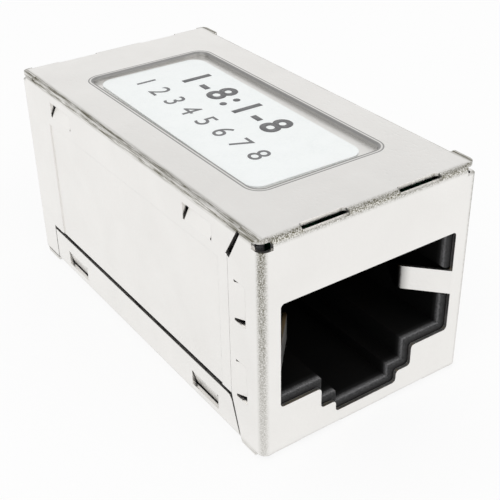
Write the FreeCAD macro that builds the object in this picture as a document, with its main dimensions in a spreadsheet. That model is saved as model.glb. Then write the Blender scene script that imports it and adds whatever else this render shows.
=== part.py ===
"""Shielded in-line coupler for two eight-way modular plugs, as a parametric FreeCAD document.

Millimetres. X runs across the coupler, Y along it with the front port at -Y, and Z up.
The origin is on the underside, at the middle of the footprint.
"""
import FreeCAD, Part
import math
import os
import re
import Sketcher

# Driving sizes, one cell each: name, value, what it measures.
SIZES = [
    ("width", 15.0, "outside width of the shield"),
    ("length", 29.0, "outside length over both end faces"),
    ("height", 14.4, "outside height"),
    ("sheet", 0.25, "shield sheet thickness"),
    ("bend", 0.5, "outside radius of every shield fold"),
    ("seam", 0.03, "gap where two shield edges butt"),
    ("wrap_reach", 3.05, "how far a corner flange runs back along the side"),
    ("wrap_foot", 2.1, "reach of a corner flange at the underside"),
    ("leg_wide", 2.45, "width of the leg that each side panel keeps at the rear end"),
    ("leg_gap", 0.08, "gap between a rear leg and the foot under it"),
    ("slit_start", 1.95, "where the slanted slit meets the top fold, from the end face"),
    ("slit_drop", 2.15, "how far the slanted slit comes down"),
    ("slit_gap", 0.3, "width of the slanted slit"),
    ("base_rise", 2.75, "height of the upturned sides of the base"),
    ("base_gap", 0.28, "open seam between cover and base"),
    ("base_seam", 0.13, "open seam between corner flange and base"),
    ("base_round", 0.5, "corner radius of the upturned sides of the base"),
    ("relief", 0.7, "radius of the corner relief under the top"),
    ("relief_tall", 0.4, "height of that relief"),
    ("notch_tall", 0.3, "height of the corner notch at the underside"),
    ("slot_inner", 1.75, "middle of the face to the near end of a fold slot"),
    ("slot_long", 3.05, "length of a fold slot"),
    ("slot_deep", 0.55, "how far a fold slot runs back from the end face"),
    ("slot_drop", 0.3, "how far a fold slot comes down the end face"),
    ("slot_round", 0.2, "inner corner radius of a fold slot"),
    ("cavity_wide", 11.9, "socket width"),
    ("cavity_tall", 6.6, "socket height above its shoulders"),
    ("cavity_floor", 3.7, "underside to the shoulders of the socket"),
    ("cavity_deep", 11.8, "end face to the back of the socket"),
    ("latch_wide", 6.2, "width of the latch step"),
    ("latch_drop", 1.45, "depth of the latch step under the shoulders"),
    ("key_wide", 4.0, "width of the lowest step"),
    ("key_drop", 0.8, "depth of the lowest step under the latch step"),
    ("lead_in", 0.2, "rounded edge of the socket mouth"),
    ("port_margin", 0.3, "port cut in the end face wider than the socket, each side"),
    ("port_round", 0.25, "corner radius of the port cut in the end face"),
    ("barb_long", 2.6, "length of a locking barb"),
    ("barb_tall", 0.95, "height of a locking barb"),
    ("barb_lean", 0.45, "how far the free edge of a cover barb is pressed in"),
    ("foot_lean", 0.28, "how far the free edge of a base barb is pressed in"),
    ("barb_slack", 0.1, "slit along the free edge of a barb"),
    ("barb_nick", 0.16, "slit at both ends of a barb"),
    ("barb_from_end", 6.0, "end face to the middle of the side and base barbs"),
    ("barb_drop", 2.0, "top to the hinge of the side barbs"),
    ("foot_hinge", 1.8, "underside to the hinge of the base barbs"),
    ("wrap_hinge", 2.5, "end face to the hinge of the corner flange barbs"),
    ("wrap_barb_long", 2.3, "length of a corner flange barb"),
    ("wrap_barb_low", 3.35, "underside to the lower corner flange barb"),
    ("wrap_barb_high", 8.6, "underside to the upper corner flange barb"),
    ("step_deep", 0.07, "depth of the shallow panel stepped into each side"),
    ("step_from_end", 4.0, "end face to the stepped panel"),
    ("step_drop", 2.7, "top of the shield to the stepped panel"),
    ("finger_wide", 1.6, "width of a ground finger"),
    ("finger_low", 6.0, "underside to the lower edge of a ground finger"),
    ("finger_lean", 2.2, "how far a ground finger leans into the socket"),
    ("finger_apex", 2.4, "end face to the knee of a ground finger"),
    ("finger_tail", 4.9, "end face to the tip of a ground finger"),
    ("finger_return", 0.75, "how far in the tip of a ground finger stands"),
    ("recess_wide", 8.9, "width of the label recess"),
    ("recess_long", 19.6, "length of the label recess"),
    ("recess_deep", 0.3, "depth of the label recess"),
    ("recess_round", 0.7, "corner radius of the label recess"),
    ("recess_rim", 0.1, "bevelled rim of the label recess"),
    ("label_wide", 7.9, "label width"),
    ("label_long", 18.8, "label length"),
    ("label_thick", 0.1, "label thickness"),
    ("label_round", 1.0, "label corner radius"),
    ("label_shift", 0.3, "label set to one side of its recess"),
    ("label_turn", 1.0, "label stuck on askew, in degrees"),
    ("housing_play", 0.05, "housing to shield, all round"),
    ("housing_apart", 1.2, "gap between the two housings"),
    ("housing_round", 0.4, "outside corner radius of a housing"),
    ("roof", 1.3, "housing roof above the socket"),
    ("rail_thick", 0.45, "side rail beside the circuit board"),
    ("rail_gap", 0.3, "side rail to the top of the shield above it"),
    ("channel_deep", 0.7, "relief in the socket wall behind a ground finger"),
    ("channel_long", 6.6, "end face to the back of that relief"),
    ("channel_slack", 0.15, "relief above and below a ground finger"),
    ("pocket_slack", 0.12, "room round a barb in the housing"),
    ("peg_round", 0.7, "radius of the board pegs"),
    ("peg_proud", 0.15, "peg tip above the circuit board"),
    ("peg_side", 5.6, "middle to a board peg"),
    ("peg_from_end", 4.0, "end face to the board pegs"),
    ("board_thick", 1.2, "circuit board thickness"),
    ("board_play", 0.1, "circuit board to the side rails and pegs"),
    ("board_short", 5.0, "circuit board shorter than the shield"),
    ("contact_pitch", 1.02, "contact spacing"),
    ("wire_wide", 0.4, "contact width"),
    ("wire_thick", 0.3, "contact thickness"),
    ("wire_bend", 0.3, "inside radius of a contact bend"),
    ("tail_near", 9.2, "end face to the front row of contact tails"),
    ("tail_far", 11.0, "end face to the back row of contact tails"),
    ("tail_proud", 0.6, "contact tail above the circuit board"),
    ("tail_bore", 0.6, "side of the circuit board hole for a contact tail"),
    ("run_up", 0.55, "socket ceiling to the level run of a contact"),
    ("contact_front", 1.0, "end face to where run and spring leg of a contact meet"),
    ("contact_slope", 25.0, "slope of the spring leg, in degrees"),
    ("contact_tip", 6.8, "end face to the tip of a contact"),
    ("groove_wide", 0.62, "width of a contact groove in the housing roof"),
    ("groove_deep", 0.9, "depth of a contact groove"),
    ("groove_front", 1.5, "end face to the front of the contact grooves"),
    ("insert_wide", 9.0, "contact insert width"),
    ("insert_front", 7.6, "end face to the front of the contact insert"),
]
CONTACTS = 8
NAMES = [name for name, value, note in SIZES]

doc = FreeCAD.newDocument("InlineCoupler")
sheet = doc.addObject("Spreadsheet::Sheet", "Sizes")
for row, (name, value, note) in enumerate(SIZES, 1):
    sheet.set(f"A{row}", name)
    sheet.set(f"B{row}", str(value))
    sheet.set(f"C{row}", note)
    sheet.setAlias(f"B{row}", name)
working = doc.addObject("Spreadsheet::Sheet", "Working")
doc.recompute()

# Places that several pieces share, written once as formulas on the sheet.
SIDE = "width/2"
END = "length/2"
SIDE_IN = "(width/2 - sheet)"
END_IN = "(length/2 - sheet)"
TOP_IN = "(height - sheet)"
INSIDE_BEND = "(bend - sheet)"
FOLD_SIDE = "(width/2 - bend - sheet)"
PORT_SIDE = "(cavity_wide/2 + port_margin)"
CEILING = "(cavity_floor + cavity_tall)"
DECK = "(cavity_floor + cavity_tall + roof)"
HOUSING_SIDE = "(width/2 - sheet - housing_play)"
HOUSING_FRONT = "(length/2 - sheet - housing_play)"
COVER_EDGE = "(base_rise + base_gap)"
BARB_Y = "(length/2 - barb_from_end)"
BARB_HINGE = "(height - barb_drop)"
RUN = "(cavity_floor + cavity_tall + run_up)"


# ---------------------------------------------------------------- helpers
def bound(formula):
    """The formula with each size name pointed at its cell."""
    return re.sub(r"[a-z_]+", lambda word: "Sizes." + word[0] if word[0] in NAMES else word[0], formula)


def value_of(formula):
    """What a formula comes to, worked out on a sheet of its own."""
    working.set("A1", "=" + bound(formula))
    working.recompute()
    return float(working.get("A1"))


def minus(formula):
    return f"-({formula})"


def signed(corners, across="", along=""):
    """The same corners on the other side of one or both axes."""
    return [(f"{across}({x})", f"{along}({y})", *rest) for x, y, *rest in corners]


def new_body(name):
    body = doc.addObject("PartDesign::Body", name)
    body.Label = name
    return body


def sketch_on(body, plane, name, out="0"):
    """A sketch on one of the body's origin planes, moved out along its normal."""
    sketch = body.newObject("Sketcher::SketchObject", name)
    support = [item for item in body.Origin.OriginFeatures if item.Role == plane][0]
    sketch.AttachmentSupport = (support, [""])
    sketch.MapMode = "FlatFace"
    sketch.setExpression("AttachmentOffset.Base.z", bound(out))
    return sketch


def tie(sketch, kind, *where):
    return sketch.addConstraint(Sketcher.Constraint(kind, *where))


def hold(sketch, kind, formula, *where):
    """A dimension of a sketch, bound to the sheet."""
    index = tie(sketch, kind, *where, value_of(formula))
    sketch.setExpression(f"Constraints[{index}]", bound(formula))


def outline(sketch, corners):
    """A closed outline. A corner is (x, y) where it is sharp and (x, y, radius) where it is round."""
    count = len(corners)
    spots = [FreeCAD.Vector(value_of(corner[0]), value_of(corner[1]), 0) for corner in corners]
    arrive = list(spots)
    leave = list(spots)
    arcs = {}
    for place, corner in enumerate(corners):
        if len(corner) == 3:
            back = (spots[place - 1] - spots[place]).normalize()
            on = (spots[(place + 1) % count] - spots[place]).normalize()
            half = back.getAngle(on) / 2
            radius = value_of(corner[2])
            arrive[place] = spots[place] + back * (radius / math.tan(half))
            leave[place] = spots[place] + on * (radius / math.tan(half))
            centre = spots[place] + (back + on).normalize() * (radius / math.sin(half))
            turns_left = on.cross(back).z > 0
            rims = (arrive[place], leave[place]) if turns_left else (leave[place], arrive[place])
            angles = [math.atan2(rim.y - centre.y, rim.x - centre.x) for rim in rims]
            circle = Part.Circle(centre, FreeCAD.Vector(0, 0, 1), radius)
            arcs[place] = (Part.ArcOfCircle(circle, *angles), turns_left)
    sides = [sketch.addGeometry(Part.LineSegment(leave[place], arrive[(place + 1) % count]), False)
             for place in range(count)]
    for place, corner in enumerate(corners):
        before = sides[place - 1]
        after = sides[place]
        if place in arcs:
            shape, turns_left = arcs[place]
            arc = sketch.addGeometry(shape, False)
            tie(sketch, "Tangent", before, 2, arc, 1 if turns_left else 2)
            tie(sketch, "Tangent", arc, 2 if turns_left else 1, after, 1)
            hold(sketch, "Radius", corner[2], arc)
            spot = sketch.addGeometry(Part.Point(spots[place]), True)
            tie(sketch, "PointOnObject", spot, 1, before)
            tie(sketch, "PointOnObject", spot, 1, after)
        else:
            tie(sketch, "Coincident", before, 2, after, 1)
            spot = after
        hold(sketch, "DistanceX", corner[0], -1, 1, spot, 1)
        hold(sketch, "DistanceY", corner[1], -1, 1, spot, 1)


def box_outline(sketch, left, right, low, high, *radius):
    outline(sketch, [(left, low, *radius), (right, low, *radius),
                     (right, high, *radius), (left, high, *radius)])


def ring_outline(sketch, across, up, radius):
    centre = FreeCAD.Vector(value_of(across), value_of(up), 0)
    circle = Part.Circle(centre, FreeCAD.Vector(0, 0, 1), value_of(radius))
    index = sketch.addGeometry(circle, False)
    hold(sketch, "DistanceX", across, -1, 1, index, 3)
    hold(sketch, "DistanceY", up, -1, 1, index, 3)
    hold(sketch, "Radius", radius, index)


def settle(body, feature):
    """Recompute, and stop at once if the feature did not come out."""
    doc.recompute()
    if "Invalid" in feature.State or feature.Shape.isNull():
        raise RuntimeError(f"{body.Label}: {feature.Label} fails, {feature.getStatusString()}")
    return feature


def pad(body, sketch, name, size, both=False, back=False):
    feature = body.newObject("PartDesign::Pad", name)
    feature.Profile = sketch
    feature.setExpression("Length", bound(size))
    feature.Midplane = both
    feature.Reversed = back
    return settle(body, feature)


def cut(body, sketch, name, size=None, both=False, back=False):
    """A pocket, size deep or through everything, that must take some material away."""
    before = body.Shape.Volume
    feature = body.newObject("PartDesign::Pocket", name)
    feature.Profile = sketch
    if size is None:
        feature.Type = "ThroughAll"
    else:
        feature.setExpression("Length", bound(size))
    feature.Midplane = both
    feature.Reversed = back
    settle(body, feature)
    if body.Shape.Volume > before - 1e-6:
        raise RuntimeError(f"{body.Label}: {name} takes nothing away")
    return feature


def soften(body, kind, name, size, wanted):
    """A fillet or chamfer on every edge of the body that passes the test."""
    base = body.Tip
    edges = [f"Edge{place}" for place, edge in enumerate(base.Shape.Edges, 1) if wanted(edge)]
    if not edges:
        raise RuntimeError(f"{body.Label}: {name} finds no edge")
    feature = body.newObject(f"PartDesign::{kind}", name)
    feature.Base = (base, edges)
    feature.setExpression("Radius" if kind == "Fillet" else "Size", bound(size))
    return settle(body, feature)


def port_corners(grow, *radius):
    """The stepped socket outline seen from the front, grown by a margin below and beside."""
    wide = f"(cavity_wide/2 + {grow})"
    latch = f"(latch_wide/2 + {grow})"
    key = f"(key_wide/2 + {grow})"
    floor = f"(cavity_floor - {grow})"
    step = f"(cavity_floor - latch_drop - {grow})"
    lowest = f"(cavity_floor - latch_drop - key_drop - {grow})"
    right = [(wide, CEILING), (wide, floor), (latch, floor), (latch, step), (key, step), (key, lowest)]
    right = [(x, y, *radius) for x, y in right]
    return right + signed(reversed(right), across="-")


def contact_place(place):
    """Where contact number place stands across the coupler, counted from nought."""
    return f"({place - (CONTACTS - 1) / 2}*contact_pitch)"


def tail_of(place):
    """Tails stand in two rows, odd and even contacts taking turns."""
    return "tail_near" if place % 2 == 0 else "tail_far"


# ---------------------------------------------------------------- shield cover
def build_cover():
    body = new_body("shield_cover")

    # Top strip with both end faces folded down and their feet turned back under.
    loop = sketch_on(body, "YZ_Plane", "EndLoop")
    outer = [(END, "0", "bend"), (END, "height", "bend")]
    inner = [(END_IN, TOP_IN, INSIDE_BEND), (END_IN, "sheet", INSIDE_BEND)]
    outline(loop, [(f"{END} - leg_wide", "0")] + outer + signed(reversed(outer), across="-")
            + [(f"wrap_foot - {END}", "0"), (f"wrap_foot - {END}", "sheet")]
            + signed(reversed(inner), across="-") + inner + [(f"{END} - leg_wide", "sheet")])
    pad(body, loop, "EndFaces", f"2*{FOLD_SIDE}", both=True)

    # Side panels, folded down from the top between the slits.
    channel = sketch_on(body, "XZ_Plane", "SideChannel")
    outer = [(SIDE, COVER_EDGE), (SIDE, "height", "bend")]
    inner = [(SIDE_IN, TOP_IN, INSIDE_BEND), (SIDE_IN, COVER_EDGE)]
    outline(channel, outer + signed(reversed(outer), across="-")
            + signed(reversed(inner), across="-") + inner)
    pad(body, channel, "SidePanels", f"2*({END} - slit_start)", both=True)

    # At the four corners the top only rests on what stands below, with a plain cut edge.
    ledges = sketch_on(body, "XY_Plane", "LedgeOutline", TOP_IN)
    ledge = [(SIDE, f"{END} - slit_start"), (SIDE, f"{END} - bend/2", "bend"),
             (FOLD_SIDE, f"{END} - bend/2"), (FOLD_SIDE, f"{END} - slit_start")]
    for across in ("", "-"):
        for along in ("", "-"):
            outline(ledges, signed(ledge, across, along))
    pad(body, ledges, "TopLedges", "sheet")

    # Flanges folded back from the front face on to the sides, and at the rear the side panels
    # folded in on to the end face.
    corners = sketch_on(body, "XY_Plane", "CornerSections")
    for across in ("", "-"):
        for along, reach in (("-", "wrap_reach"), ("", "leg_wide")):
            section = [(FOLD_SIDE, END), (SIDE, END, "bend"), (SIDE, f"{END} - {reach}"),
                       (SIDE_IN, f"{END} - {reach}"), (SIDE_IN, END_IN, INSIDE_BEND), (FOLD_SIDE, END_IN)]
            outline(corners, signed(section, across, along))
    pad(body, corners, "CornerFlanges", f"{TOP_IN} - seam/2")
    returns = sketch_on(body, "XZ_Plane", "ReturnOutline", minus(END))
    for left, right in ((f"{FOLD_SIDE} - seam", FOLD_SIDE), (minus(FOLD_SIDE), f"seam - {FOLD_SIDE}")):
        box_outline(returns, left, right, "sheet", TOP_IN)
    cut(body, returns, "ReturnSeams", "bend", back=True)

    # Slanted slit, butt seam and slanted foot that part front flange, side and base.
    parting = sketch_on(body, "YZ_Plane", "PartingOutline")
    skew = "slit_gap/2*(wrap_reach - slit_start)/(slit_drop - sheet)"
    line = [(f"{END} - slit_start + slit_gap/2", TOP_IN),
            (f"{END} - wrap_reach + slit_gap/2", f"height - slit_drop - {skew}"),
            (f"{END} - wrap_reach + seam/2", "height - slit_drop"),
            (f"{END} - wrap_reach + seam/2", COVER_EDGE),
            (f"{END} - wrap_foot", "0"),
            (f"{END} - wrap_reach - base_seam", "0"),
            (f"{END} - wrap_reach - base_seam", COVER_EDGE),
            (f"{END} - wrap_reach - seam/2", COVER_EDGE),
            (f"{END} - wrap_reach - seam/2", "height - slit_drop"),
            (f"{END} - wrap_reach - slit_gap/2", f"height - slit_drop + {skew}"),
            (f"{END} - slit_start - slit_gap/2", TOP_IN)]
    outline(parting, signed(line, across="-"))
    cut(body, parting, "FlangePartings", both=True)

    # Slots that ease the folds along the top and bottom of each end face.
    for name, out, back in (("TopSlots", "height - slot_drop", True), ("FootSlots", "slot_drop", False)):
        slots = sketch_on(body, "XY_Plane", name + "Outline", out)
        slot = [("slot_inner", f"{END} - slot_deep", "slot_round"),
                ("slot_inner + slot_long", f"{END} - slot_deep", "slot_round"),
                ("slot_inner + slot_long", f"{END} + sheet"), ("slot_inner", f"{END} + sheet")]
        for across in ("", "-"):
            for along in ("", "-"):
                outline(slots, signed(slot, across, along))
        cut(body, slots, name, back=back)

    # Where three folds would meet: a round relief under the top, at the foot of the front face a
    # square notch, and under each rear leg a wide foot.
    reliefs = sketch_on(body, "XY_Plane", "ReliefOutline", TOP_IN)
    for across in ("", "-"):
        for along in ("", "-"):
            ring_outline(reliefs, f"{across}({SIDE} - sheet/2)", f"{along}({END} - sheet/2)", "relief")
    cut(body, reliefs, "TopReliefs", "relief_tall")
    for name, along, reach, tall in (("FootNotches", "-", "(bend + sheet)", "notch_tall"),
                                     ("LegTrims", "", "leg_wide", "sheet + leg_gap")):
        corner = sketch_on(body, "XY_Plane", name + "Outline")
        notch = [(FOLD_SIDE, f"{END} - {reach}"), (f"{SIDE} + sheet", f"{END} - {reach}"),
                 (f"{SIDE} + sheet", f"{END} + sheet"), (FOLD_SIDE, f"{END} + sheet")]
        for across in ("", "-"):
            outline(corner, signed(notch, across, along))
        cut(body, corner, name, tall, back=True)
    feet = sketch_on(body, "XY_Plane", "LegFootOutline")
    foot = [(SIDE, f"{END} - leg_wide"), (SIDE, f"{END} - bend/2", "bend"),
            (FOLD_SIDE, f"{END} - bend/2"), (FOLD_SIDE, f"{END} - leg_wide")]
    for across in ("", "-"):
        outline(feet, signed(foot, across))
    pad(body, feet, "LegFeet", "sheet")

    # Port cut in both end faces, a margin wider than the socket.
    port = sketch_on(body, "XZ_Plane", "PortOutline")
    outline(port, port_corners("port_margin", "port_round"))
    cut(body, port, "Ports", both=True)

    # Label recess: its floor is pushed down by its own depth.
    tray = sketch_on(body, "XY_Plane", "TrayOutline", TOP_IN)
    box_outline(tray, "-recess_wide/2 - sheet", "recess_wide/2 + sheet", "-recess_long/2 - sheet",
                "recess_long/2 + sheet", "recess_round + sheet")
    pad(body, tray, "Tray", "recess_deep", back=True)
    recess = sketch_on(body, "XY_Plane", "RecessOutline", "height")
    box_outline(recess, "-recess_wide/2", "recess_wide/2", "-recess_long/2", "recess_long/2", "recess_round")
    cut(body, recess, "Recess", "recess_deep")
    top = value_of("height")
    rim = value_of("recess_wide/2") + 1e-4
    reach = value_of("recess_long/2") + 1e-4
    soften(body, "Chamfer", "RecessRim", "recess_rim", lambda edge: abs(edge.BoundBox.ZMin - top) < 1e-6
           and edge.BoundBox.XMin > -rim and edge.BoundBox.XMax < rim
           and edge.BoundBox.YMin > -reach and edge.BoundBox.YMax < reach)

    # Shallow panel stepped into each side.
    for name, out, back in (("RightStep", SIDE, False), ("LeftStep", minus(SIDE), True)):
        step = sketch_on(body, "YZ_Plane", name + "Outline", out)
        box_outline(step, minus(f"{END} - step_from_end"), f"{END} - step_from_end",
                    f"{COVER_EDGE} - sheet", "height - step_drop")
        cut(body, step, name, "step_deep", back=back)

    # Windows round the barbs, cut through both sides at once.
    windows = sketch_on(body, "YZ_Plane", "WindowOutline")
    for way in ("", "-"):
        outline(windows, signed([
            (f"{BARB_Y} - barb_long/2 - barb_nick", BARB_HINGE),
            (f"{BARB_Y} + barb_long/2 + barb_nick", BARB_HINGE),
            (f"{BARB_Y} + barb_long/2 + barb_nick", f"{BARB_HINGE} + barb_tall + barb_slack"),
            (f"{BARB_Y} - barb_long/2 - barb_nick", f"{BARB_HINGE} + barb_tall + barb_slack")], way))
    for low in ("wrap_barb_low", "wrap_barb_high"):
        box_outline(windows, f"wrap_hinge - barb_tall - barb_slack - {END}", f"wrap_hinge - {END}",
                    f"{low} - barb_nick", f"{low} + wrap_barb_long + barb_nick")
    cut(body, windows, "BarbWindows", both=True)

    # Side barbs: hinged below, free edge up and pressed in.
    for way, name in (("-", "RearSideBarbs"), ("", "FrontSideBarbs")):
        barbs = sketch_on(body, "XZ_Plane", name + "Section", f"{way}{BARB_Y}")
        barb = [(SIDE, BARB_HINGE), (f"{SIDE} - barb_lean", f"{BARB_HINGE} + barb_tall"),
                (f"{SIDE_IN} - barb_lean", f"{BARB_HINGE} + barb_tall"), (SIDE_IN, BARB_HINGE)]
        outline(barbs, barb)
        outline(barbs, signed(barb, across="-"))
        pad(body, barbs, name, "barb_long", both=True)

    # Front flange barbs: hinged at the back, free edge towards the end face.
    for low, name in (("wrap_barb_low", "LowFlangeBarbs"), ("wrap_barb_high", "HighFlangeBarbs")):
        barbs = sketch_on(body, "XY_Plane", name + "Section", low)
        hinge = f"{END} - wrap_hinge"
        barb = [(SIDE, hinge), (f"{SIDE} - barb_lean", f"{hinge} + barb_tall"),
                (f"{SIDE_IN} - barb_lean", f"{hinge} + barb_tall"), (SIDE_IN, hinge)]
        for across in ("", "-"):
            outline(barbs, signed(barb, across, "-"))
        pad(body, barbs, name, "wrap_barb_long")

    # Ground fingers: struck from the port edges and kneed into the socket.
    fingers = sketch_on(body, "XY_Plane", "FingerSection", "finger_low")
    finger = [(PORT_SIDE, END), (f"{PORT_SIDE} - finger_lean", f"{END} - finger_apex", "2*sheet"),
              (f"{PORT_SIDE} - finger_return", f"{END} - finger_tail"),
              (f"{PORT_SIDE} - finger_return + sheet", f"{END} - finger_tail"),
              (f"{PORT_SIDE} - finger_lean + 1.3*sheet", f"{END} - finger_apex", "sheet"),
              (PORT_SIDE, END_IN)]
    for across in ("", "-"):
        for along in ("", "-"):
            outline(fingers, signed(finger, across, along))
    pad(body, fingers, "GroundFingers", "finger_wide")
    return body


# ---------------------------------------------------------------- shield base
def build_base():
    body = new_body("shield_base")
    reach = f"({END} - wrap_foot - base_seam)"
    corner = f"{END} - wrap_reach - base_seam"

    trough = sketch_on(body, "XZ_Plane", "TroughSection")
    outer = [(SIDE, "base_rise"), (SIDE, "0", "bend")]
    inner = [(SIDE_IN, "sheet", INSIDE_BEND), (SIDE_IN, "base_rise")]
    outline(trough, outer + signed(reversed(outer), across="-")
            + signed(reversed(inner), across="-") + inner)
    pad(body, trough, "Trough", f"2*{reach}", both=True)

    # The upturned sides are slanted off and rounded in front, clear of the corner flanges, and the
    # rear end stops short of the legs.
    ends = sketch_on(body, "YZ_Plane", "SlantOutline")
    slant = [(reach, "0"), (corner, "base_rise", "base_round"), (f"{corner} - 2*base_round", "base_rise"),
             (f"{corner} - 2*base_round", "base_rise + sheet"),
             (f"{reach} + sheet", "base_rise + sheet"), (f"{reach} + sheet", "0")]
    outline(ends, signed(slant, across="-"))
    box_outline(ends, f"{END} - leg_wide - base_seam", f"{reach} + sheet", "0", "base_rise + sheet")
    cut(body, ends, "EndCuts", both=True)

    # Base barbs: hinged above, free edge down and pressed in.
    windows = sketch_on(body, "YZ_Plane", "FootWindowOutline")
    window = [(f"{BARB_Y} - barb_long/2 - barb_nick", "foot_hinge - barb_tall - barb_slack"),
              (f"{BARB_Y} + barb_long/2 + barb_nick", "foot_hinge - barb_tall - barb_slack"),
              (f"{BARB_Y} + barb_long/2 + barb_nick", "foot_hinge"),
              (f"{BARB_Y} - barb_long/2 - barb_nick", "foot_hinge")]
    outline(windows, window)
    outline(windows, signed(window, across="-"))
    cut(body, windows, "FootWindows", both=True)
    for way, name in (("-", "RearFootBarbs"), ("", "FrontFootBarbs")):
        barbs = sketch_on(body, "XZ_Plane", name + "Section", f"{way}{BARB_Y}")
        barb = [(SIDE, "foot_hinge"), (f"{SIDE} - foot_lean", "foot_hinge - barb_tall"),
                (f"{SIDE_IN} - foot_lean", "foot_hinge - barb_tall"), (SIDE_IN, "foot_hinge")]
        outline(barbs, barb)
        outline(barbs, signed(barb, across="-"))
        pad(body, barbs, name, "barb_long", both=True)
    return body


# ---------------------------------------------------------------- label
def build_label():
    body = new_body("label")
    shape = sketch_on(body, "XY_Plane", "LabelOutline")
    box_outline(shape, "-label_wide/2", "label_wide/2", "-label_long/2", "label_long/2", "label_round")
    pad(body, shape, "LabelSheet", "label_thick")
    place = FreeCAD.Vector(-value_of("label_shift"), 0, value_of("height - recess_deep"))
    turn = FreeCAD.Rotation(FreeCAD.Vector(0, 0, 1), -value_of("label_turn"))
    body.Placement = FreeCAD.Placement(place, turn)
    return body


# ---------------------------------------------------------------- jack housing
def build_housing(name, turned):
    body = new_body(name)

    block = sketch_on(body, "XY_Plane", "BlockOutline", "sheet")
    box_outline(block, minus(HOUSING_SIDE), HOUSING_SIDE, minus(HOUSING_FRONT), "-housing_apart/2",
                "housing_round")
    pad(body, block, "Block", f"{DECK} - sheet")
    rails = sketch_on(body, "XY_Plane", "RailOutline", DECK)
    rail = [(HOUSING_SIDE, f"housing_round - {HOUSING_FRONT}"),
            (HOUSING_SIDE, "-housing_apart/2 - housing_round"),
            (f"{HOUSING_SIDE} - rail_thick", "-housing_apart/2 - housing_round"),
            (f"{HOUSING_SIDE} - rail_thick", f"housing_round - {HOUSING_FRONT}")]
    outline(rails, rail)
    outline(rails, signed(rail, across="-"))
    pad(body, rails, "Rails", f"{TOP_IN} - rail_gap - {DECK}")
    foot = value_of("sheet")
    soften(body, "Chamfer", "FootEdges", INSIDE_BEND + " + housing_play", lambda edge: abs(
        edge.BoundBox.ZMin - foot) < 1e-6 and abs(edge.BoundBox.ZMax - foot) < 1e-6)

    # Socket with its two latch steps, and the rounded edge of its mouth.
    socket = sketch_on(body, "XZ_Plane", "SocketOutline", END)
    outline(socket, port_corners("0"))
    cut(body, socket, "Socket", "cavity_deep")
    mouth = -value_of(HOUSING_FRONT)
    side = value_of("cavity_wide/2")
    low = value_of("cavity_floor - latch_drop - key_drop")
    high = value_of(CEILING)

    def round_mouth(edge):
        box = edge.BoundBox
        return (abs(box.YMin - mouth) < 1e-6 and abs(box.YMax - mouth) < 1e-6 and box.XMax < side + 1e-4
                and box.XMin > -side - 1e-4 and box.ZMin > low - 1e-4 and box.ZMin < high - 1e-4)
    soften(body, "Fillet", "MouthEdge", "lead_in", round_mouth)

    # Relief behind each ground finger.
    channels = sketch_on(body, "XZ_Plane", "ChannelOutline", END)
    channel = [("cavity_wide/2 - lead_in", "finger_low - channel_slack"),
               ("cavity_wide/2 + channel_deep", "finger_low - channel_slack"),
               ("cavity_wide/2 + channel_deep", "finger_low + finger_wide + channel_slack"),
               ("cavity_wide/2 - lead_in", "finger_low + finger_wide + channel_slack")]
    outline(channels, channel)
    outline(channels, signed(channel, across="-"))
    cut(body, channels, "FingerChannels", "channel_long")

    # Contact grooves in the ceiling, and the seat of the contact insert behind them.
    grooves = sketch_on(body, "XY_Plane", "GrooveOutline", CEILING)
    for place in range(CONTACTS):
        box_outline(grooves, f"{contact_place(place)} - groove_wide/2",
                    f"{contact_place(place)} + groove_wide/2",
                    f"groove_front - {END}", f"insert_front - {END}")
    cut(body, grooves, "ContactGrooves", "groove_deep", back=True)
    seat = sketch_on(body, "XY_Plane", "SeatOutline", CEILING)
    box_outline(seat, "-insert_wide/2", "insert_wide/2", f"insert_front - {END}", f"cavity_deep - {END}")
    cut(body, seat, "InsertSeat", back=True)

    # Pockets that the barbs of cover and base snap into.
    for side_name, out, back in (("Right", HOUSING_SIDE, False), ("Left", minus(HOUSING_SIDE), True)):
        pockets = sketch_on(body, "YZ_Plane", side_name + "PocketOutline", out)
        for low, high in ((f"{BARB_HINGE} - pocket_slack", f"{BARB_HINGE} + barb_tall + pocket_slack"),
                          ("foot_hinge - barb_tall - pocket_slack", "foot_hinge + pocket_slack")):
            box_outline(pockets, f"-{BARB_Y} - barb_long/2 - pocket_slack",
                        f"-{BARB_Y} + barb_long/2 + pocket_slack", low, high)
        for low in ("wrap_barb_low", "wrap_barb_high"):
            box_outline(pockets, f"wrap_hinge - barb_tall - pocket_slack - {END}",
                        f"wrap_hinge + pocket_slack - {END}",
                        f"{low} - pocket_slack", f"{low} + wrap_barb_long + pocket_slack")
        cut(body, pockets, side_name + "Pockets", "barb_lean - housing_play + pocket_slack", back=back)

    # Pegs that place the circuit board.
    pegs = sketch_on(body, "XY_Plane", "PegOutline", DECK)
    for across in ("", "-"):
        ring_outline(pegs, f"{across}peg_side", f"peg_from_end - {END}", "peg_round")
    pad(body, pegs, "Pegs", "board_thick + peg_proud")
    tip = value_of(f"{DECK} + board_thick + peg_proud")
    soften(body, "Chamfer", "PegTips", "peg_proud", lambda edge: abs(edge.BoundBox.ZMin - tip) < 1e-6
           and edge.Curve.TypeId == "Part::GeomCircle")
    body.Placement = turned
    return body


# ---------------------------------------------------------------- contacts and their insert
def build_insert(name, turned):
    body = new_body(name)
    block = sketch_on(body, "XY_Plane", "InsertOutline", CEILING)
    box_outline(block, "-insert_wide/2", "insert_wide/2", f"insert_front - {END}", f"cavity_deep - {END}")
    pad(body, block, "InsertBlock", "roof")
    combs = sketch_on(body, "XY_Plane", "CombOutline", f"{RUN} - wire_thick/2")
    for place in range(CONTACTS):
        box_outline(combs, f"{contact_place(place)} - wire_wide/2", f"{contact_place(place)} + wire_wide/2",
                    f"insert_front - {END}", f"{tail_of(place)} + wire_thick/2 - {END}")
    cut(body, combs, "CombSlots", back=True)
    body.Placement = turned
    return body


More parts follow.
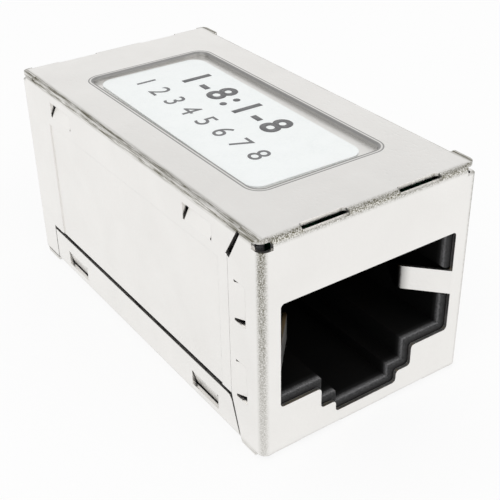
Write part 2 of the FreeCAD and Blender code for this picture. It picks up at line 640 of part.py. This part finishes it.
def build_contact(name, place, turned):
    """A spring contact: tail through the board, level run, then a leg sloping back down."""
    body = new_body(name)
    tail = f"({tail_of(place)} - {END})"
    meet = f"(contact_front - {END})"
    tip = f"(contact_tip - {END})"
    half = "wire_thick/2"
    outer_bend = "wire_bend + wire_thick"
    slope = "(contact_slope*pi/180)"
    top = f"{DECK} + board_thick + tail_proud"
    reach = f"{half}/tan({slope}/2*1rad)"
    tip_rise = f"{RUN} - (contact_tip - contact_front)*tan({slope}*1rad)"
    side = sketch_on(body, "YZ_Plane", "WireSide", contact_place(place))
    outline(side, [(f"{tail} - {half}", top),
                   (f"{tail} - {half}", f"{RUN} + {half}", "wire_bend"),
                   (f"{meet} - {reach}", f"{RUN} + {half}", outer_bend),
                   (tip, f"{tip_rise} - {half}/cos({slope}*1rad)"),
                   (tip, f"{tip_rise} + {half}/cos({slope}*1rad)"),
                   (f"{meet} + {reach}", f"{RUN} - {half}", "wire_bend"),
                   (f"{tail} + {half}", f"{RUN} - {half}", outer_bend),
                   (f"{tail} + {half}", top)])
    pad(body, side, "Wire", "wire_wide", both=True)
    body.Placement = turned
    return body


# ---------------------------------------------------------------- circuit board
def build_board():
    body = new_body("circuit_board")
    half_wide = f"({HOUSING_SIDE} - rail_thick - board_play)"
    half_long = f"({END} - board_short/2)"
    slab = sketch_on(body, "XY_Plane", "BoardOutline", DECK)
    box_outline(slab, minus(half_wide), half_wide, minus(half_long), half_long)
    pad(body, slab, "Board", "board_thick")
    holes = sketch_on(body, "XY_Plane", "BoreOutline", DECK)
    for way in ("", "-"):
        for place in range(CONTACTS):
            across = f"{way}{contact_place(place)}"
            along = f"{way}({tail_of(place)} - {END})"
            box_outline(holes, f"{across} - tail_bore/2", f"{across} + tail_bore/2",
                        f"{along} - tail_bore/2", f"{along} + tail_bore/2")
        for across in ("", "-"):
            ring_outline(holes, f"{across}peg_side", f"{way}(peg_from_end - {END})",
                         "peg_round + board_play/2")
    cut(body, holes, "BoardBores", back=True)
    return body


# ---------------------------------------------------------------- assembly
ahead = FreeCAD.Placement()
behind = FreeCAD.Placement(FreeCAD.Vector(), FreeCAD.Rotation(FreeCAD.Vector(0, 0, 1), 180))
pieces = [build_cover(), build_base(), build_label(), build_board()]
for port, turned in (("front", ahead), ("rear", behind)):
    pieces.append(build_housing(f"{port}_jack_housing", turned))
    pieces.append(build_insert(f"{port}_contact_insert", turned))
    for place in range(CONTACTS):
        pieces.append(build_contact(f"{port}_contact_{place + 1}", place, turned))
doc.recompute()

for item in doc.Objects:
    if "Invalid" in item.State or "Error" in item.State:
        raise RuntimeError(f"{item.Name} is {item.State}")
os.makedirs("parts", exist_ok=True)
for body in pieces:
    if body.Shape.isNull() or not body.Shape.isValid() or len(body.Shape.Solids) != 1:
        raise RuntimeError(f"{body.Label} is not one sound solid")
    body.Shape.exportStep(f"parts/{body.Label}.step")
    print(f"{body.Label}: {body.Shape.Volume:.2f} mm3")
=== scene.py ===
import math

import bpy
from mathutils import Matrix, Vector


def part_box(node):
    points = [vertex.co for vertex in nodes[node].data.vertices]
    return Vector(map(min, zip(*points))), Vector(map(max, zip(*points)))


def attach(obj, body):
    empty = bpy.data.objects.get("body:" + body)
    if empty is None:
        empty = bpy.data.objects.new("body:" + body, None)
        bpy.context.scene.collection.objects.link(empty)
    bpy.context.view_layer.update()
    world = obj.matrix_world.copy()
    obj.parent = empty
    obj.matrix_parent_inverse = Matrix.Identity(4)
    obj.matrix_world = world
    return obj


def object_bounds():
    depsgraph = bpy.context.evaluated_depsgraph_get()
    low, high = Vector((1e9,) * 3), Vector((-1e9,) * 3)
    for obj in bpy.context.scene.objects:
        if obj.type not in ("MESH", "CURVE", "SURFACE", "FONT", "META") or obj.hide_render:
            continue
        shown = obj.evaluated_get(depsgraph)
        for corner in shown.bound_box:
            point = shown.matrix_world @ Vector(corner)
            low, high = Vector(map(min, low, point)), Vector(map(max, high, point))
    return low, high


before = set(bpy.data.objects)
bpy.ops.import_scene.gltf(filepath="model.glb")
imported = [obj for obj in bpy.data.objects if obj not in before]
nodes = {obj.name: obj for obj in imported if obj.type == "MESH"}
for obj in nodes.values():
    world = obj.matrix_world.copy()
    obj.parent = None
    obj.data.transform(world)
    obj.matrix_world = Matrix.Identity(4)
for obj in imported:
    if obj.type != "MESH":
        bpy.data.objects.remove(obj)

mm = 0.001
cadBox = [list(corner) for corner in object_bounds()]
low, high = (Vector(corner) for corner in cadBox)
middle = (low + high) / 2
print("frame loaded with", len(nodes), "nodes")


def feed(tree, node, sockets):   # by name or number, each a value or another node's output
    for name, value in sockets.items():
        if isinstance(value, bpy.types.NodeSocket):
            tree.links.new(value, node.inputs[name])
        else:
            node.inputs[name].default_value = value


def addNode(tree, kind, spot, sockets=None, **settings):
    node = tree.nodes.new("ShaderNode" + kind)
    node.location = spot
    for name, value in settings.items():
        setattr(node, name, value)
    feed(tree, node, sockets or {})
    return node


def addMath(tree, operation, spot, *values):
    return addNode(tree, "Math", spot, dict(enumerate(values)), operation=operation).outputs[0]


def addMix(tree, spot, share, first, second):   # sockets 6 and 7 hold the two colours
    return addNode(tree, "Mix", spot, {0: share, 6: first, 7: second}, data_type="RGBA").outputs[2]


def addRange(tree, spot, value, span, result=(0.0, 1.0), curve="LINEAR"):   # spreads span over result
    sockets = {"Value": value, "From Min": span[0], "From Max": span[1],
               "To Min": result[0], "To Max": result[1]}
    return addNode(tree, "MapRange", spot, sockets, interpolation_type=curve).outputs["Result"]


def addSplit(tree, spot, vector):
    return addNode(tree, "SeparateXYZ", spot, {0: vector}).outputs


def newMaterial(name):
    material = bpy.data.materials.new(name)
    material.use_nodes = True
    tree = material.node_tree
    place = addNode(tree, "TexCoord", (-1500, 0)).outputs["Object"]
    return material, tree, tree.nodes["Principled BSDF"], place


def newGroup(name, numbers, outputs):   # takes a vector and the named numbers
    group = bpy.data.node_groups.new(name, "ShaderNodeTree")
    group.interface.new_socket("Vector", in_out="INPUT", socket_type="NodeSocketVector")
    for label, value in numbers.items():
        socket = group.interface.new_socket(label, in_out="INPUT", socket_type="NodeSocketFloat")
        socket.default_value = value
    for label, kind in outputs.items():
        group.interface.new_socket(label, in_out="OUTPUT", socket_type="NodeSocket" + kind)
    start = group.nodes.new("NodeGroupInput")
    start.location = (-900, 0)
    end = group.nodes.new("NodeGroupOutput")
    end.location = (700, 0)
    return group, start.outputs, end


# Fine grain with sparse small dents, over edges that are rounded by a hair
grain = {
    "scale": 8000.0, "depth": 0.002 * mm, "edgeRadius": 0.04 * mm,   # start values of the group
    "spread": (0.35, 0.65),                             # noise that counts as no grain and as full grain
    "dentScale": 4200.0, "dentSpread": (0.52, 0.80),    # only the highest noise makes a dent
}


def buildGrain():
    group, start, end = newGroup(
        "surfaceGrain",
        {"Scale": grain["scale"], "Depth": grain["depth"], "Peel": 0.0, "Edge Radius": grain["edgeRadius"]},
        {"Grain": "Float", "Normal": "Vector"})
    noise = addNode(group, "TexNoise", (-600, 0), {"Vector": start["Vector"], "Scale": start["Scale"],
                                                   "Detail": 3.0, "Roughness": 0.6}).outputs["Fac"]
    peel = addNode(group, "TexNoise", (-600, 300), {"Vector": start["Vector"], "Scale": grain["dentScale"],
                                                    "Detail": 1.0, "Roughness": 0.5}).outputs["Fac"]
    specks = addRange(group, (-300, 350), peel, grain["dentSpread"])
    dents = addMath(group, "MULTIPLY", (-100, 350), specks, start["Peel"])
    height = addMath(group, "SUBTRACT", (50, 250), noise, dents)
    edge = addNode(group, "Bevel", (-600, -300), {"Radius": start["Edge Radius"]}, samples=6)
    bump = addNode(group, "Bump", (200, -100), {"Strength": 1.0, "Distance": start["Depth"],
                                                "Height": height, "Normal": edge.outputs["Normal"]})
    feed(group, end, {"Grain": addRange(group, (-300, 150), noise, grain["spread"]),
                      "Normal": bump.outputs["Normal"]})
    return group


# Slow variation between two values, as handling leaves it
smudge = {"scale": 260.0, "spread": (0.3, 0.7)}


def buildSmudge():
    group, start, end = newGroup("smudge", {"Scale": smudge["scale"], "Low": 0.0, "High": 1.0},
                                 {"Value": "Float"})
    noise = addNode(group, "TexNoise", (-600, 0), {"Vector": start["Vector"], "Scale": start["Scale"],
                                                   "Detail": 4.0, "Roughness": 0.55, "Distortion": 0.4})
    result = (start["Low"], start["High"])
    feed(group, end, {"Value": addRange(group, (-200, 0), noise.outputs["Fac"], smudge["spread"], result)})
    return group


grainGroup = buildGrain()
smudgeGroup = buildSmudge()


def addGrain(tree, spot, place, scale, depth, edgeRadius=grain["edgeRadius"], peel=0.0):
    sockets = {"Vector": place, "Scale": scale, "Depth": depth, "Peel": peel, "Edge Radius": edgeRadius}
    return addNode(tree, "Group", spot, sockets, node_tree=grainGroup).outputs


def addSmudge(tree, spot, place, span=(0.0, 1.0), scale=smudge["scale"]):
    sockets = {"Vector": place, "Scale": scale, "Low": span[0], "High": span[1]}
    return addNode(tree, "Group", spot, sockets, node_tree=smudgeGroup).outputs["Value"]


def depthMask(tree, spot, place, span, curve="SMOOTHSTEP"):   # how far in from the nearer end face
    away = addMath(tree, "ABSOLUTE", (spot[0] + 150, spot[1]), addSplit(tree, spot, place)["Y"])
    return addRange(tree, (spot[0] + 300, spot[1]), away, (high.y - span[0], high.y - span[1]), curve=curve)


# Nickel-plated sheet: satin on the flats, darker and grainy where it is folded, that darkness partly the
# plating's own grain and partly painted shade; painted shade also round the label recess and deep in the
# ports
plate = {
    "colour": (0.90, 0.885, 0.86, 1), "wornColour": (0.74, 0.725, 0.70, 1), "wornShare": 0.2,
    # dark fold colour, partly plating grain and partly painted shade, and the painted shade colour round
    # the recess
    "foldGrainAndShadeColour": (0.12, 0.11, 0.065, 1), "rimShadeColour": (0.09, 0.09, 0.09, 1),
    "foldReach": 0.54 * mm, "foldGain": 1.75,       # gain on the folds round the ends
    "foldStripes": ((0.0, 0.35), (0.6, 1.7)),       # the long folds are weaker along their middle
    "foldShadeFade": (0.75, 0.4),                        # painted shade: share added by the top, and share at the bottom
    "foldScale": 13500, "streakLength": 0.04,       # speckle, drawn out along the long folds
    "speckle": ((0.38, 0.62), (0.15, 1.0)),
    "grainScale": 9000, "grainDepth": 0.0018 * mm, "peel": 3.0, "edgeRadius": 0.05 * mm,
    "roughness": (0.28, 0.36), "roughScale": 420.0, "markRoughness": 0.15,
    "recess": (8.9 * mm, 19.6 * mm, 0.7 * mm),      # pressed recess: width, length, corner
    "recessDepth": 0.45 * mm,
    "rimMiddle": 0.19 * mm, "rimShadeShare": 0.70,       # painted shade: dark line round the recess
    "rimFade": (0.22 * mm, 0.18 * mm),              # distances from its middle where it starts and is full
    "lightMiddle": 0.25 * mm, "lightShare": 0.15,   # lighter line in it, where the painted shade stands back for the lit rim, and how much shade is left there
    "lightFade": (0.03 * mm, 0.08 * mm),            # distances from its middle where it fades and is gone
    "portDepth": (1.7 * mm, 2.6 * mm),              # painted shade: sheet inside the ports darkens between these depths
    "portMargin": 1.0 * mm,                         # and only this far under the roof and in from the sides
    "portShadeColour": (0.004, 0.004, 0.004, 1),
}


def buildFolds():   # how near a point is to two outside faces at once
    outputs = {"Long Folds": "Float", "Other Folds": "Float", "Height": "Float"}
    group, start, end = newGroup("foldMask", {"Reach": plate["foldReach"]}, outputs)
    parts = addSplit(group, (-700, 0), start["Vector"])
    near = []
    for axis in range(3):
        y = 300 - 250 * axis
        half = (high[axis] - low[axis]) / 2
        off = addMath(group, "SUBTRACT", (-550, y), parts[axis], middle[axis])
        away = addMath(group, "ABSOLUTE", (-400, y), off)
        limit = addMath(group, "SUBTRACT", (-400, y - 100), half, start["Reach"])
        near.append(addRange(group, (-200, y), away, (limit, half), curve="SMOOTHSTEP"))
    sides, ends, flats = near   # flats are the top and the bottom
    apart = addMath(group, "ABSOLUTE", (150, 150), addMath(group, "SUBTRACT", (0, 150), sides, flats))
    stripes = addRange(group, (300, 150), apart, *plate["foldStripes"])
    long = addMath(group, "MULTIPLY", (0, 300), sides, flats)
    others = addMath(group, "MAXIMUM", (150, -100), addMath(group, "MULTIPLY", (0, -50), sides, ends),
                     addMath(group, "MULTIPLY", (0, -200), ends, flats))
    raised = addMath(group, "MULTIPLY", (300, -100), others, plate["foldGain"])
    feed(group, end, {"Long Folds": addMath(group, "MULTIPLY", (450, 250), long, stripes),
                      "Other Folds": addNode(group, "Clamp", (450, -100), {0: raised}).outputs[0],
                      "Height": addRange(group, (300, -300), parts["Z"], (low.z, high.z))})
    return group


foldGroup = buildFolds()


def foldGrainAndShade(tree, place):   # speckle on the folds: partly the plating's own grain, partly painted shade, which is stronger towards the top
    folds = addNode(tree, "Group", (-1100, 400), {"Vector": place, "Reach": plate["foldReach"]},
                    node_tree=foldGroup).outputs
    stretch = (1.0, plate["streakLength"], 1.0)
    drawn = addNode(tree, "Mapping", (-1100, 100), {"Vector": place, "Scale": stretch}).outputs[0]
    marks = []
    for y, vector, name in ((300, drawn, "Long Folds"), (500, place, "Other Folds")):
        noise = addNode(tree, "TexNoise", (-900, y), {"Vector": vector, "Scale": plate["foldScale"],
                                                      "Detail": 3.0, "Roughness": 0.7})
        speckle = addRange(tree, (-700, y), noise.outputs["Fac"], *plate["speckle"])
        marks.append(addMath(tree, "MULTIPLY", (-500, y), speckle, folds[name]))
    fade = addMath(tree, "MULTIPLY_ADD", (-500, 650), folds["Height"], *plate["foldShadeFade"])
    return addMath(tree, "MULTIPLY", (-340, 450), addMath(tree, "MAXIMUM", (-340, 300), *marks), fade)


def rimPaintedShade(tree, place):   # painted shade round the label recess, with a lighter line for the lit rim in it, by distance from the recess outline, on top only
    parts = addSplit(tree, (-1300, -700), place)
    wide, long, corner = plate["recess"]
    over = []
    for axis, half in ((0, wide / 2 - corner), (1, long / 2 - corner)):
        y = -700 - 150 * axis
        away = addMath(tree, "ABSOLUTE", (-1150, y), parts[axis])
        out = addMath(tree, "MAXIMUM", (-850, y), addMath(tree, "SUBTRACT", (-1000, y), away, half), 0.0)
        over.append(addMath(tree, "POWER", (-700, y), out, 2.0))
    away = addMath(tree, "SQRT", (-400, -750), addMath(tree, "ADD", (-550, -750), *over))
    fromRim = addMath(tree, "SUBTRACT", (-250, -750), away, corner + plate["rimMiddle"])
    fromRim = addMath(tree, "ABSOLUTE", (-100, -750), fromRim)
    fromLight = addMath(tree, "SUBTRACT", (-250, -1000), away, corner + plate["lightMiddle"])
    fromLight = addMath(tree, "ABSOLUTE", (-100, -1000), fromLight)
    rimShade = addRange(tree, (50, -750), fromRim, plate["rimFade"], curve="SMOOTHSTEP")
    light = addRange(tree, (50, -1000), fromLight, plate["lightFade"], (plate["lightShare"], 1.0))
    onTop = addMath(tree, "GREATER_THAN", (50, -600), parts["Z"], high.z - plate["recessDepth"])
    both = addMath(tree, "MULTIPLY", (250, -750), rimShade, light)
    both = addMath(tree, "MULTIPLY", (400, -750), both, onTop)
    return addMath(tree, "MULTIPLY", (-180, 250), both, plate["rimShadeShare"])


def portPaintedShade(tree, place):   # painted shade: sheet deep in a port, mostly the ground springs, is coloured near black where only shade falls
    parts = addSplit(tree, (-1300, -1300), place)
    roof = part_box("front_jack_housing")[1][2]
    below = addMath(tree, "LESS_THAN", (-700, -1250), parts["Z"], roof - plate["portMargin"])
    across = addMath(tree, "ABSOLUTE", (-850, -1400), parts["X"])
    between = addMath(tree, "LESS_THAN", (-700, -1400), across, high.x - plate["portMargin"])
    inside = addMath(tree, "MULTIPLY", (-550, -1300), below, between)
    return addMath(tree, "MULTIPLY", (-400, -1250),
                   depthMask(tree, (-1300, -1550), place, plate["portDepth"]), inside)


def buildPlate():
    material, tree, shader, place = newMaterial("nickelPlate")
    fine = addGrain(tree, (-700, -50), place, plate["grainScale"], plate["grainDepth"],
                    plate["edgeRadius"], plate["peel"])
    tone = addSmudge(tree, (-700, 700), place, (0.0, plate["wornShare"]))
    rough = addSmudge(tree, (-700, 900), place, plate["roughness"], plate["roughScale"])
    foldGrainShade = foldGrainAndShade(tree, place)
    rimShade = rimPaintedShade(tree, place)
    colour = addMix(tree, (-180, 800), tone, plate["colour"], plate["wornColour"])
    # fold speckle: plating grain and painted shade
    colour = addMix(tree, (0, 600), foldGrainShade, colour, plate["foldGrainAndShadeColour"])
    # painted shade, with a lighter line in it, round the label recess
    colour = addMix(tree, (160, 600), rimShade, colour, plate["rimShadeColour"])
    # painted shade, near black, on the sheet deep in the ports
    colour = addMix(tree, (320, 600), portPaintedShade(tree, place), colour, plate["portShadeColour"])
    shade = addMath(tree, "MAXIMUM", (0, 350), foldGrainShade, rimShade)
    roughness = addMath(tree, "MULTIPLY_ADD", (160, 100), shade, plate["markRoughness"], rough)
    feed(tree, shader, {"Base Color": colour, "Roughness": roughness, "Normal": fine["Normal"],
                        "Metallic": 1.0})
    return material


# Moulded black plastic of the sockets, and the slightly greyer combs
plastic = {
    "colour": (0.0015, 0.0015, 0.0015, 1), "paleColour": (0.003, 0.003, 0.003, 1),
    "combColour": (0.03, 0.03, 0.032, 1),
    "mouth": [(0.0, 0.006), (0.30, 0.03), (0.42, 0.10), (0.52, 0.38),   # depth in mm, grey: painted highlight on the mouth's rounded edge, darker next to the sheet and fading to black deeper in
              (0.66, 0.20), (0.85, 0.02), (1.1, 0.002)],
    "mouthBlue": 1.03, "mouthEnd": 0.99,   # blue against grey, and share of the depth where this stops
    "speckColour": (0.006, 0.006, 0.006, 1), "speckShare": 0.6,
    "grainScale": 11000, "grainDepth": 0.0015 * mm, "edgeRadius": 0.05 * mm,
    "roughness": (0.40, 0.50), "roughScale": 500.0, "depthRoughness": 0.35, "specular": 0.15,
}


def buildPlastic(name, colour, paleColour):
    material, tree, shader, place = newMaterial(name)
    fine = addGrain(tree, (-700, -50), place, plastic["grainScale"], plastic["grainDepth"],
                    plastic["edgeRadius"])
    tone = addSmudge(tree, (-700, 300), place)
    rough = addSmudge(tree, (-700, 500), place, plastic["roughness"], plastic["roughScale"])
    reach = plastic["mouth"][-1][0] * mm
    inward = depthMask(tree, (-1300, 700), place, (0.0, reach), "LINEAR")
    # painted highlight: a grey band, by depth, at the mouth of each port
    mouthHighlight = addNode(tree, "ValToRGB", (-600, 700), {0: inward})
    stops = mouthHighlight.color_ramp.elements
    stops.remove(stops[1])
    for depth, grey in plastic["mouth"]:
        stop = stops.new(depth * mm / reach) if depth else stops[0]
        stop.color = (grey, grey, grey * plastic["mouthBlue"], 1)
    specks = addMath(tree, "MULTIPLY", (-450, 500), fine["Grain"], plastic["speckShare"])
    mouth = addMix(tree, (-300, 600), specks, mouthHighlight.outputs[0], plastic["speckColour"])
    inner = addMix(tree, (-300, 300), tone, colour, paleColour)
    beyond = addMath(tree, "GREATER_THAN", (-300, 800), inward, plastic["mouthEnd"])
    feed(tree, shader, {
        "Base Color": addMix(tree, (-120, 400), beyond, mouth, inner),
        "Roughness": addMath(tree, "MULTIPLY_ADD", (-120, 100), inward, plastic["depthRoughness"], rough),
        "Normal": fine["Normal"], "Specular IOR Level": plastic["specular"]})
    return material


# Gold-plated spring wire, drawn lengthwise
gold = {
    "colour": (0.88, 0.64, 0.27, 1), "dullColour": (0.70, 0.48, 0.20, 1), "toneScale": 900.0,
    "drawStretch": (1.0, 0.12, 0.12), "drawScale": 5000, "drawDepth": 0.001 * mm, "edgeRadius": 0.05 * mm,
    "roughness": (0.38, 0.50), "roughScale": 700.0,
}


def buildGold():
    material, tree, shader, place = newMaterial("goldWire")
    drawn = addNode(tree, "Mapping", (-1200, 0), {"Vector": place, "Scale": gold["drawStretch"]}).outputs[0]
    fine = addGrain(tree, (-700, -50), drawn, gold["drawScale"], gold["drawDepth"], gold["edgeRadius"])
    tone = addSmudge(tree, (-700, 300), place, scale=gold["toneScale"])
    rough = addSmudge(tree, (-700, 500), place, gold["roughness"], gold["roughScale"])
    feed(tree, shader, {"Base Color": addMix(tree, (-300, 300), tone, gold["colour"], gold["dullColour"]),
                        "Roughness": rough, "Normal": fine["Normal"], "Metallic": 1.0})
    return material


# Glass laminate: woven cloth showing faintly under green solder mask
laminate = {
    "colour": (0.015, 0.13, 0.06, 1), "threadColour": (0.03, 0.20, 0.10, 1),
    "threadScale": 330.0, "threadWaver": 0.3,
    "grainScale": 6000.0, "grainDepth": 0.001 * mm, "roughness": (0.22, 0.34),
}


def buildLaminate():
    material, tree, shader, place = newMaterial("greenLaminate")
    threads = []
    for index, direction in enumerate("XY"):
        wave = addNode(tree, "TexWave", (-900, 300 + 250 * index), {
            "Vector": place, "Scale": laminate["threadScale"], "Distortion": laminate["threadWaver"]},
            bands_direction=direction)
        threads.append(wave.outputs["Fac"])
    cloth = addMath(tree, "MULTIPLY", (-600, 400), *threads)
    fine = addGrain(tree, (-700, -50), place, laminate["grainScale"], laminate["grainDepth"])
    rough = addSmudge(tree, (-700, 800), place, laminate["roughness"])
    colour = addMix(tree, (-300, 300), cloth, laminate["colour"], laminate["threadColour"])
    feed(tree, shader, {"Base Color": colour, "Roughness": rough, "Normal": fine["Normal"]})
    return material


# Coated label stock and its ink
paper = {
    "colour": (0.93, 0.955, 0.95, 1), "fibreColour": (0.88, 0.91, 0.905, 1), "fibreScale": 7000.0,
    "inkColour": (0.15, 0.15, 0.155, 1), "thinInkColour": (0.20, 0.20, 0.205, 1), "inkScale": 9000.0,
    "toneScale": 900.0, "grainDepth": 0.0012 * mm, "edgeRadius": 0.02 * mm, "roughness": (0.42, 0.52),
}


def buildPaper(name, colour, otherColour, scale):
    material, tree, shader, place = newMaterial(name)
    fine = addGrain(tree, (-700, -50), place, scale, paper["grainDepth"], paper["edgeRadius"])
    tone = addSmudge(tree, (-700, 300), place, scale=paper["toneScale"])
    rough = addSmudge(tree, (-700, 500), place, paper["roughness"])
    share = addMath(tree, "MULTIPLY", (-420, 300), tone, fine["Grain"])
    feed(tree, shader, {"Base Color": addMix(tree, (-240, 300), share, colour, otherColour),
                        "Roughness": rough, "Normal": fine["Normal"]})
    return material


nickelPlate = buildPlate()
blackPlastic = buildPlastic("blackPlastic", plastic["colour"], plastic["paleColour"])
combPlastic = buildPlastic("combPlastic", plastic["paleColour"], plastic["combColour"])
goldWire = buildGold()
greenLaminate = buildLaminate()
labelPaper = buildPaper("labelPaper", paper["colour"], paper["fibreColour"], paper["fibreScale"])
labelInk = buildPaper("labelInk", paper["inkColour"], paper["thinInkColour"], paper["inkScale"])
print("materials ready")


def finishOf(name):
    if name.startswith("shield"):
        return nickelPlate
    if name.endswith("housing"):
        return blackPlastic
    if name.endswith("insert"):
        return combPlastic
    return {"label": labelPaper, "circuit_board": greenLaminate}.get(name, goldWire)


for name, piece in nodes.items():
    piece.data.materials.clear()
    piece.data.materials.append(finishOf(name))
print("nodes finished")

# Two lines of plain contact numbers on the label, read from the left side of the coupler
printing = {
    "lines": [
        {"name": "labelLineUpper", "words": "1-8:1-8", "size": 2.95 * mm, "swelling": 0.022,
         "spacing": 1.28, "across": 0.85 * mm, "along": 1.35 * mm},
        {"name": "labelLineLower", "words": "1 2 3 4 5 6 7 8", "size": 2.05 * mm, "swelling": 0.0,
         "spacing": 1.17, "across": -1.95 * mm, "along": 0.7 * mm},
    ],
    "turn": -1.0,                  # degrees, a little askew
    "gap": 0.002 * mm, "thick": 0.012 * mm,   # above the label
    "weld": 0.001 * mm,
}


def printLine(row):
    bottom, top = (Vector(corner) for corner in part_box("label"))
    centre = (bottom + top) / 2
    bpy.ops.object.select_all(action="DESELECT")
    bpy.ops.object.text_add(location=(0, 0, 0))
    line = bpy.context.object
    line.name = row["name"]
    line.data.body = row["words"]
    line.data.size = row["size"]
    if row["swelling"]:
        line.data.offset = row["swelling"] * row["size"]
    line.data.space_character = row["spacing"]
    line.data.align_x = "CENTER"
    line.data.resolution_u = 6
    bpy.ops.object.convert(target="MESH")
    line = bpy.context.object
    bpy.ops.object.mode_set(mode="EDIT")
    bpy.ops.mesh.select_all(action="SELECT")
    bpy.ops.mesh.remove_doubles(threshold=printing["weld"])
    bpy.ops.mesh.extrude_region_move(TRANSFORM_OT_translate={"value": (0, 0, printing["thick"])})
    bpy.ops.mesh.select_all(action="SELECT")
    bpy.ops.mesh.normals_make_consistent(inside=False)
    bpy.ops.object.mode_set(mode="OBJECT")
    onLabel = Matrix.Translation(Vector((centre.x, centre.y, top.z + printing["gap"])))
    turn = Matrix.Rotation(math.radians(printing["turn"]), 4, "Z")
    shift = Matrix.Translation(Vector((row["across"], row["along"], 0)))
    line.matrix_world = onLabel @ turn @ shift @ Matrix.Rotation(math.radians(-90), 4, "Z")
    bpy.ops.object.transform_apply(location=True, rotation=True, scale=True)
    line.data.materials.clear()
    line.data.materials.append(labelInk)
    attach(line, "root")


for row in printing["lines"]:
    printLine(row)
print("label printed")

# Pale floor, even world and three soft lamps
studio = {
    "floorColour": (0.93, 0.93, 0.93, 1), "otherFloorColour": (0.92, 0.92, 0.92, 1),
    "floorSize": 1.6, "floorScale": 6.0, "floorShare": 0.3,
    "floorRoughness": 0.9, "floorSpecular": 0.1,
    "white": (1, 1, 1, 1),
    "whiteShare": 0.85,            # how much of the floor shows as plain white
    "worldStrength": 0.72,         # on matt surfaces
    "glossStrength": (1.0, 0.61),  # in metal and gloss, near the horizon and overhead
    "glossHeight": (0.36, 0.58),   # sines of the elevations where the change starts and ends
    "lamps": [                     # name, azimuth, elevation, distance, size, watts
        ("keyLamp", -75, 50, 0.40, 0.30, 0.30),
        ("frontLamp", 25, 35, 0.45, 0.30, 0.25),
        ("topLamp", 120, 70, 0.45, 0.50, 0.22),
    ],
}


def buildFloor():
    bpy.ops.object.select_all(action="DESELECT")
    bpy.ops.mesh.primitive_plane_add(size=studio["floorSize"], location=(0, 0, low.z))
    floor = bpy.context.object
    floor.name = "floor"
    material, tree, shader, place = newMaterial("floorWhite")
    tone = addSmudge(tree, (-700, 200), place, (0.0, studio["floorShare"]), studio["floorScale"])
    colour = addMix(tree, (-300, 200), tone, studio["floorColour"], studio["otherFloorColour"])
    feed(tree, shader, {"Base Color": colour, "Roughness": studio["floorRoughness"],
                        "Specular IOR Level": studio["floorSpecular"]})
    glow = addNode(tree, "Emission", (0, -300), {"Color": studio["white"], "Strength": 1.0})
    seen = addNode(tree, "LightPath", (-600, 500)).outputs
    straight = addMath(tree, "MAXIMUM", (-400, 500), seen["Is Camera Ray"], seen["Is Glossy Ray"])
    straight = addMath(tree, "MAXIMUM", (-200, 500), straight, seen["Is Transmission Ray"])
    share = addMath(tree, "MULTIPLY", (0, 500), straight, studio["whiteShare"])
    mix = addNode(tree, "MixShader", (300, 0), {0: share, 1: shader.outputs[0], 2: glow.outputs[0]})
    feed(tree, tree.nodes["Material Output"], {"Surface": mix.outputs[0]})
    floor.data.materials.append(material)


def buildWorld():
    world = bpy.data.worlds.new("studioWorld")
    world.use_nodes = True
    bpy.context.scene.world = world
    tree = world.node_tree
    plain = tree.nodes["Background"]
    feed(tree, plain, {"Color": studio["white"], "Strength": studio["worldStrength"]})
    way = addNode(tree, "TexCoord", (-700, -200)).outputs["Generated"]
    rise = addSplit(tree, (-500, -200), way)["Z"]
    dim = addRange(tree, (-250, -200), rise, studio["glossHeight"], studio["glossStrength"])
    gloss = addNode(tree, "Background", (0, -200), {"Color": studio["white"], "Strength": dim})
    white = addNode(tree, "Background", (0, -400), {"Color": studio["white"], "Strength": 1.0})
    seen = addNode(tree, "LightPath", (-400, 200)).outputs
    lit = addNode(tree, "MixShader", (200, 0), {0: seen["Is Glossy Ray"], 1: plain.outputs[0],
                                                2: gloss.outputs[0]})
    straight = addMath(tree, "MAXIMUM", (0, 300), seen["Is Camera Ray"], seen["Is Transmission Ray"])
    shown = addNode(tree, "MixShader", (400, 0), {0: straight, 1: lit.outputs[0], 2: white.outputs[0]})
    feed(tree, tree.nodes["World Output"], {"Surface": shown.outputs[0]})


def addLamp(name, azimuth, elevation, distance, size, watts):
    lamp = bpy.data.lights.new(name, "AREA")
    lamp.size = size
    lamp.energy = watts
    holder = bpy.data.objects.new(name, lamp)
    bpy.context.scene.collection.objects.link(holder)
    side = math.radians(azimuth)
    up = math.radians(elevation)
    way = Vector((math.sin(side) * math.cos(up), -math.cos(side) * math.cos(up), math.sin(up)))
    holder.location = middle + way * distance
    holder.rotation_euler = way.to_track_quat("Z", "Y").to_euler()


buildFloor()
buildWorld()
for row in studio["lamps"]:
    addLamp(*row)
print("studio ready")

# Camera: seen from the front left and above
view = {
    "azimuth": 33.97, "elevation": 31.70, "roll": -1.13,   # degrees
    "aim": (0.37 * mm, -1.93 * mm, -2.25 * mm),             # from the middle of the coupler
    "distance": 65.57 * mm, "lens": 71.0, "sensor": 36.0,
    "clip": (2 * mm, 20.0),
}


def placeCamera():
    lens = bpy.data.cameras.new("camera")
    lens.sensor_width = view["sensor"]
    lens.lens = view["lens"]
    lens.clip_start, lens.clip_end = view["clip"]
    camera = bpy.data.objects.new("camera", lens)
    bpy.context.scene.collection.objects.link(camera)
    side = math.radians(view["azimuth"])
    up = math.radians(view["elevation"])
    look = Vector((math.sin(side) * math.cos(up), math.cos(side) * math.cos(up), -math.sin(up)))
    camera.location = middle + Vector(view["aim"]) - look * view["distance"]
    turn = look.to_track_quat("-Z", "Y").to_matrix() @ Matrix.Rotation(math.radians(view["roll"]), 3, "Z")
    camera.rotation_euler = turn.to_euler()
    bpy.context.scene.camera = camera
    bpy.context.scene.view_settings.view_transform = "Standard"


placeCamera()
print("camera placed")
